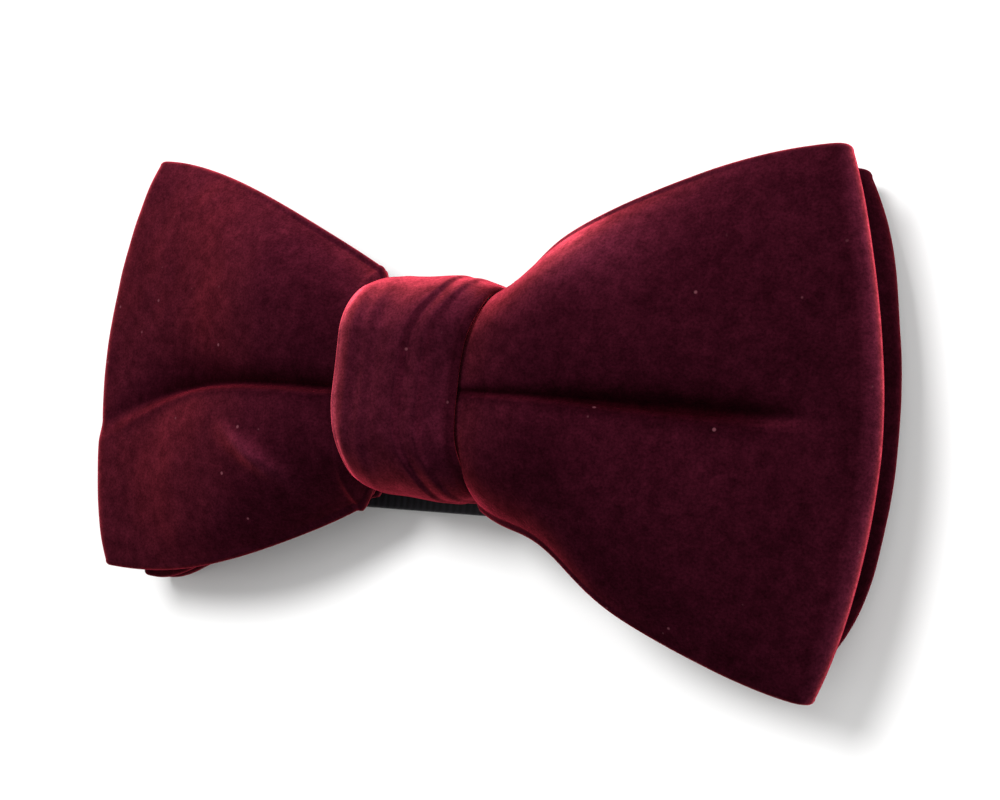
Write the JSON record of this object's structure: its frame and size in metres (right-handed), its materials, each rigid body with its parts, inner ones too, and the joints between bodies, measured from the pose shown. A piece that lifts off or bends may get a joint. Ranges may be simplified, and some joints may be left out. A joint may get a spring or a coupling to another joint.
{
  "type": "bow tie",
  "caption": "Pre-tied two-layer velvet bow tie with a wrapped knot, on an adjustable neck strap with hook, eye and slide, folded under it.",
  "frame": {"origin": "on the surface that the tie lies on, under the middle of the bow", "axes": "+X along the bow to its left wing as worn, +Y up as worn, +Z out of the front of the bow"},
  "size_m": [0.12, 0.0632, 0.0219],
  "materials": {
    "velvet": "burgundy velvet pile",
    "interlining": "stiff non-woven",
    "thread_red": "polyester sewing thread",
    "thread_black": "polyester sewing thread",
    "strap": "black satin ribbon",
    "metal": "nickel plated"
  },
  "bodies": {
    "bow": {"front_bow_velvet": "velvet", "front_bow_interlining": "interlining", "back_bow_velvet": "velvet", "back_bow_interlining": "interlining", "waist_binding_thread": "thread_red", "knot_wrap": "velvet", "knot_interlining": "interlining", "knot_closing_stitches": "thread_red", "strap_tack_stitches": "thread_black", "strap_anchor_span": "strap", "strap_eye_loop": "strap", "eye_loop_bartack": "thread_black", "strap_fold_1": "strap"},
    "strap_second_run": {"strap_span_2": "strap", "strap_fold_2": "strap"},
    "strap_third_run": {"strap_span_3": "strap", "strap_fold_3": "strap"},
    "strap_last_run": {"strap_span_4": "strap", "strap_return_run": "strap"},
    "adjuster": {"adjuster_slide": "metal", "adjuster_sleeve": "strap", "adjuster_bartack": "thread_black"},
    "hook": {"hook": "metal"},
    "eye": {"eye": "metal"}
  },
  "joints": [
    {"name": "strap_fold_1", "type": "hinge", "parent": "bow", "child": "strap_second_run", "pos_m": [0.048, 0, 0.00515], "axis": [0.0145, -0.9999, 0], "range_deg": [0, 170]},
    {"name": "strap_fold_2", "type": "hinge", "parent": "strap_second_run", "child": "strap_third_run", "pos_m": [-0.038, -0.0025, 0.00425], "axis": [-0.0048, 1, 0], "range_deg": [0, 170]},
    {"name": "strap_fold_3", "type": "hinge", "parent": "strap_third_run", "child": "strap_last_run", "pos_m": [0.044, -0.0041, 0.00248], "axis": [0.0116, -0.9999, 0], "range_deg": [0, 170]},
    {"name": "adjuster_slide", "type": "slide", "parent": "strap_last_run", "child": "adjuster", "axis": [-0.9991, -0.0426, 0], "range_m": [-0.016, 0]},
    {"name": "hook_pivot", "type": "hinge", "parent": "strap_last_run", "child": "hook", "pos_m": [-0.024, -0.007, 0.00195], "axis": [0.0426, -0.9991, 0], "range_deg": [0, 90]},
    {"name": "eye_pivot", "type": "hinge", "parent": "bow", "child": "eye", "pos_m": [-0.046, 0, 0.0047], "axis": [0, -1, 0], "range_deg": [-18, 66]}
  ],
  "couplings": [
    {"joint": "strap_fold_2", "follows": "strap_fold_1", "ratio": 1},
    {"joint": "strap_fold_3", "follows": "strap_fold_1", "ratio": 1}
  ]
}
